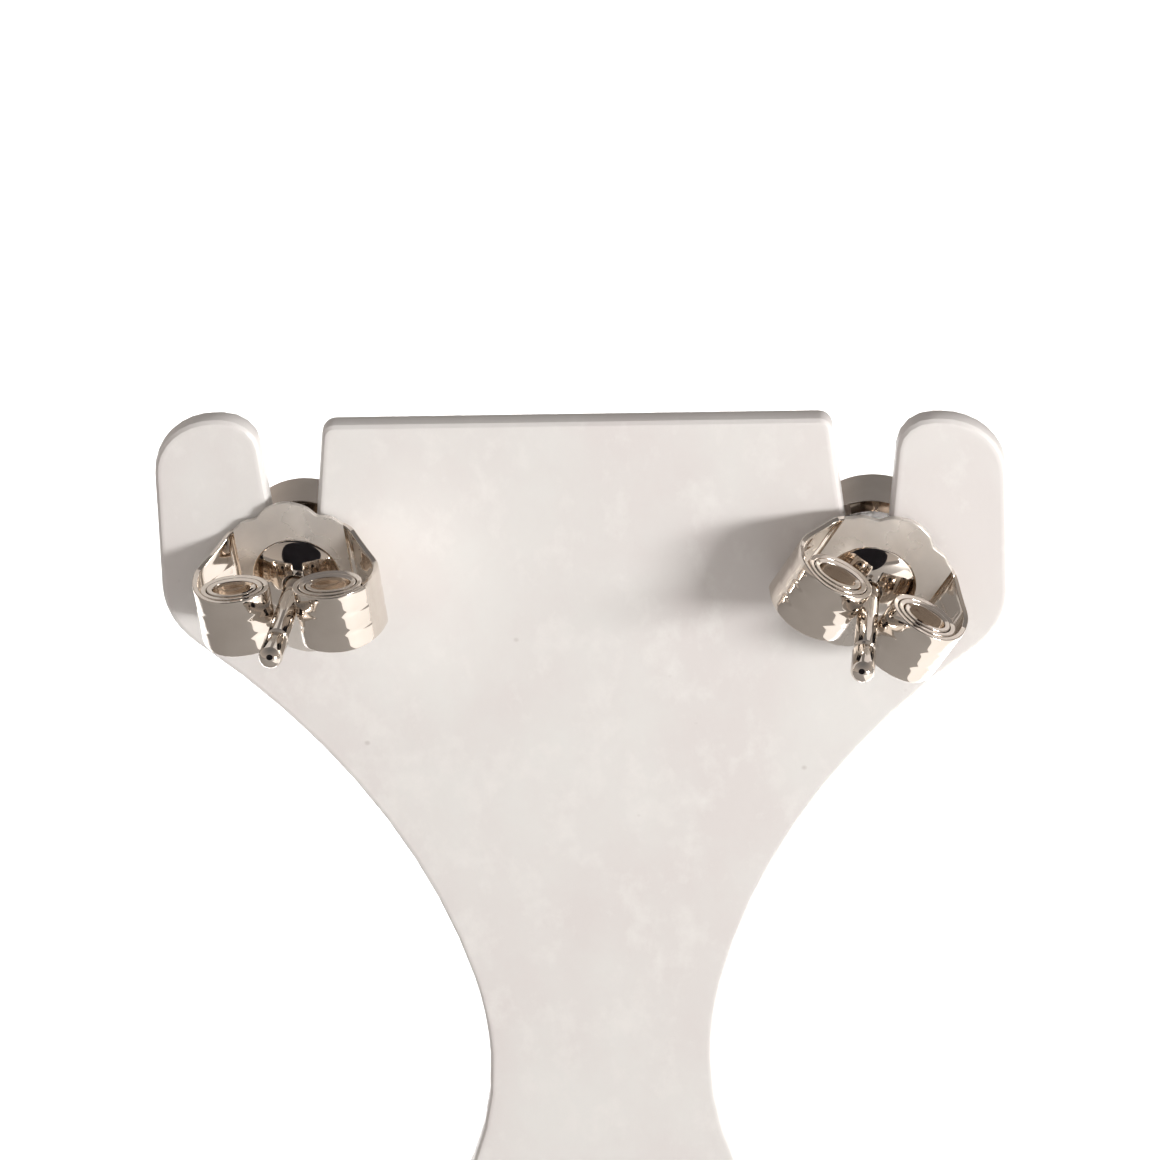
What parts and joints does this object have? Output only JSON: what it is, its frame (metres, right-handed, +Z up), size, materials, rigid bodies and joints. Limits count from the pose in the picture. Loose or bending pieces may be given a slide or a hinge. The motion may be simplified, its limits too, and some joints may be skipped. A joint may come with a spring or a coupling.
{
  "type": "pair of diamond stud earrings on a display stand",
  "caption": "Bezel-set round diamond studs with friction butterfly backs, hung in the slots of a small white bent-sheet display stand",
  "frame": {"origin": "centre of the underside of the stand's foot", "axes": "+Z up, the diamonds face -Y, the butterfly backs and the foot point to +Y, +X is to the right seen from the front"},
  "size_m": [0.0314, 0.0234, 0.0487],
  "materials": {
    "stand_white": "satin white with a faint upright grain",
    "white_gold": "polished white gold",
    "diamond": "faceted and polished"
  },
  "bodies": {
    "stand": {"display_stand": "stand_white", "right_setting": "white_gold", "right_diamond": "diamond", "left_setting": "white_gold", "left_diamond": "diamond"},
    "right_back": {"right_butterfly_back": "white_gold"},
    "left_back": {"left_butterfly_back": "white_gold"}
  },
  "joints": [
    {"name": "right_back_slide", "type": "slide", "parent": "stand", "child": "right_back", "axis": [0.0523, 0.9819, -0.182], "range_m": [0, 0.0047]},
    {"name": "left_back_slide", "type": "slide", "parent": "stand", "child": "left_back", "axis": [0.0695, 0.9564, -0.2835], "range_m": [0, 0.0047]}
  ]
}
